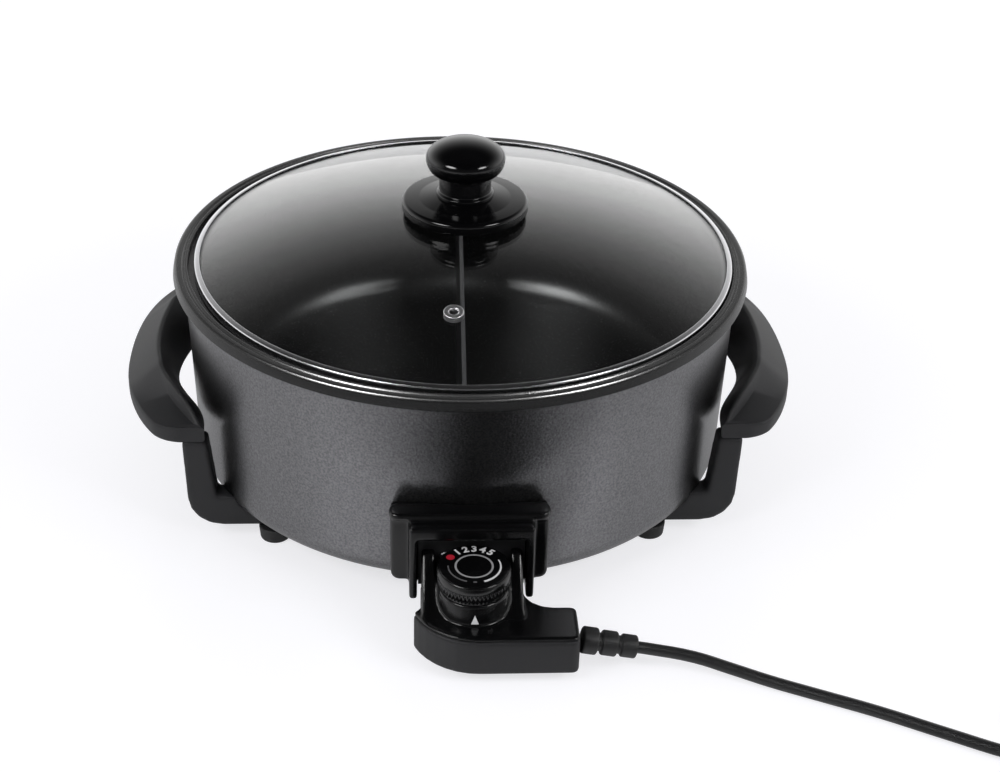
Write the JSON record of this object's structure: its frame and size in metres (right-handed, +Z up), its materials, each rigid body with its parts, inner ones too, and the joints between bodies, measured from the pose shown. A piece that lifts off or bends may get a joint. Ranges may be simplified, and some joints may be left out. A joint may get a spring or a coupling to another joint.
{
  "type": "electric skillet",
  "caption": "Deep round electric skillet with a glass lid, loop handles on leg frames, a lift-out divider and a plug-in temperature control with a dial and mains cord.",
  "frame": {"origin": "on the table under the middle of the skillet with its control plugged in and without its cord", "axes": "+Z up, -Y towards the control at the front, +X to the right as seen from the front"},
  "size_m": [0.6244, 0.5064, 0.2243],
  "materials": {
    "grey_hammer_paint": "fine grey hammered paint on pressed steel",
    "black_non_stick": "black non-stick coating on pressed aluminium",
    "zinc_steel": "zinc plated steel",
    "polished_steel": "polished steel",
    "clear_glass": "clear tempered glass",
    "divider_aluminium": "grey coated aluminium sheet",
    "gloss_black_phenolic": "gloss black moulding",
    "matte_black_phenolic": "matte black moulding",
    "switch_ceramic": "unglazed ceramic",
    "black_rubber": "moulded black rubber",
    "black_pvc": "smooth flexible cord sheath"
  },
  "bodies": {
    "skillet": {"outer_shell": "grey_hammer_paint", "pan_liner": "black_non_stick", "base_plate": "zinc_steel", "base_bolt": "zinc_steel", "heating_element": "zinc_steel", "terminal_pin_left": "polished_steel", "terminal_pin_right": "polished_steel", "probe_tube": "zinc_steel", "element_clamp_right": "zinc_steel", "element_clamp_back": "zinc_steel", "element_clamp_left": "zinc_steel", "handle_left": "matte_black_phenolic", "handle_right": "matte_black_phenolic", "leg_front_left": "matte_black_phenolic", "foot_front_left": "black_rubber", "leg_screw_front_left": "zinc_steel", "handle_screw_front_left": "zinc_steel", "leg_front_right": "matte_black_phenolic", "foot_front_right": "black_rubber", "leg_screw_front_right": "zinc_steel", "handle_screw_front_right": "zinc_steel", "leg_rear_left": "matte_black_phenolic", "foot_rear_left": "black_rubber", "leg_screw_rear_left": "zinc_steel", "handle_screw_rear_left": "zinc_steel", "leg_rear_right": "matte_black_phenolic", "foot_rear_right": "black_rubber", "leg_screw_rear_right": "zinc_steel", "handle_screw_rear_right": "zinc_steel", "socket_shroud": "gloss_black_phenolic", "terminal_plate": "matte_black_phenolic", "shroud_screw_left": "zinc_steel", "shroud_screw_right": "zinc_steel"},
    "lid": {"lid_glass": "clear_glass", "lid_band": "polished_steel", "vent_eyelet": "polished_steel", "knob_flange": "gloss_black_phenolic", "lid_knob": "gloss_black_phenolic", "knob_washer": "black_rubber", "knob_screw": "polished_steel"},
    "divider": {"divider_plate": "divider_aluminium"},
    "control": {"control_lower_housing": "matte_black_phenolic", "control_upper_housing": "gloss_black_phenolic", "contact_sleeve_left": "polished_steel", "contact_sleeve_right": "polished_steel", "thermostat": "switch_ceramic", "probe": "zinc_steel", "control_screw_1": "zinc_steel", "control_screw_2": "zinc_steel", "strain_relief": "black_rubber", "power_cord": "black_pvc", "cord_coil": "black_pvc", "cord_tie": "black_rubber", "cord_tail": "black_pvc", "mains_plug": "black_rubber", "plug_pin_1": "polished_steel", "plug_pin_2": "polished_steel"},
    "dial": {"dial": "gloss_black_phenolic", "dial_shaft": "polished_steel"}
  },
  "joints": [
    {"name": "lid_lift", "type": "slide", "parent": "skillet", "child": "lid", "axis": [0, 0, 1], "range_m": [0, 0.22]},
    {"name": "divider_lift", "type": "slide", "parent": "skillet", "child": "divider", "axis": [0, 0, 1], "range_m": [0, 0.11]},
    {"name": "control_pull", "type": "slide", "parent": "skillet", "child": "control", "axis": [0, -1, 0], "range_m": [0, 0.095]},
    {"name": "dial_turn", "type": "hinge", "parent": "control", "child": "dial", "pos_m": [0.0015, -0.17225, 0.058], "axis": [0, 0, -1], "range_deg": [0, 240]}
  ],
  "couplings": [
    {"joint": "divider_lift", "follows": "lid_lift", "ratio": 0.5}
  ]
}
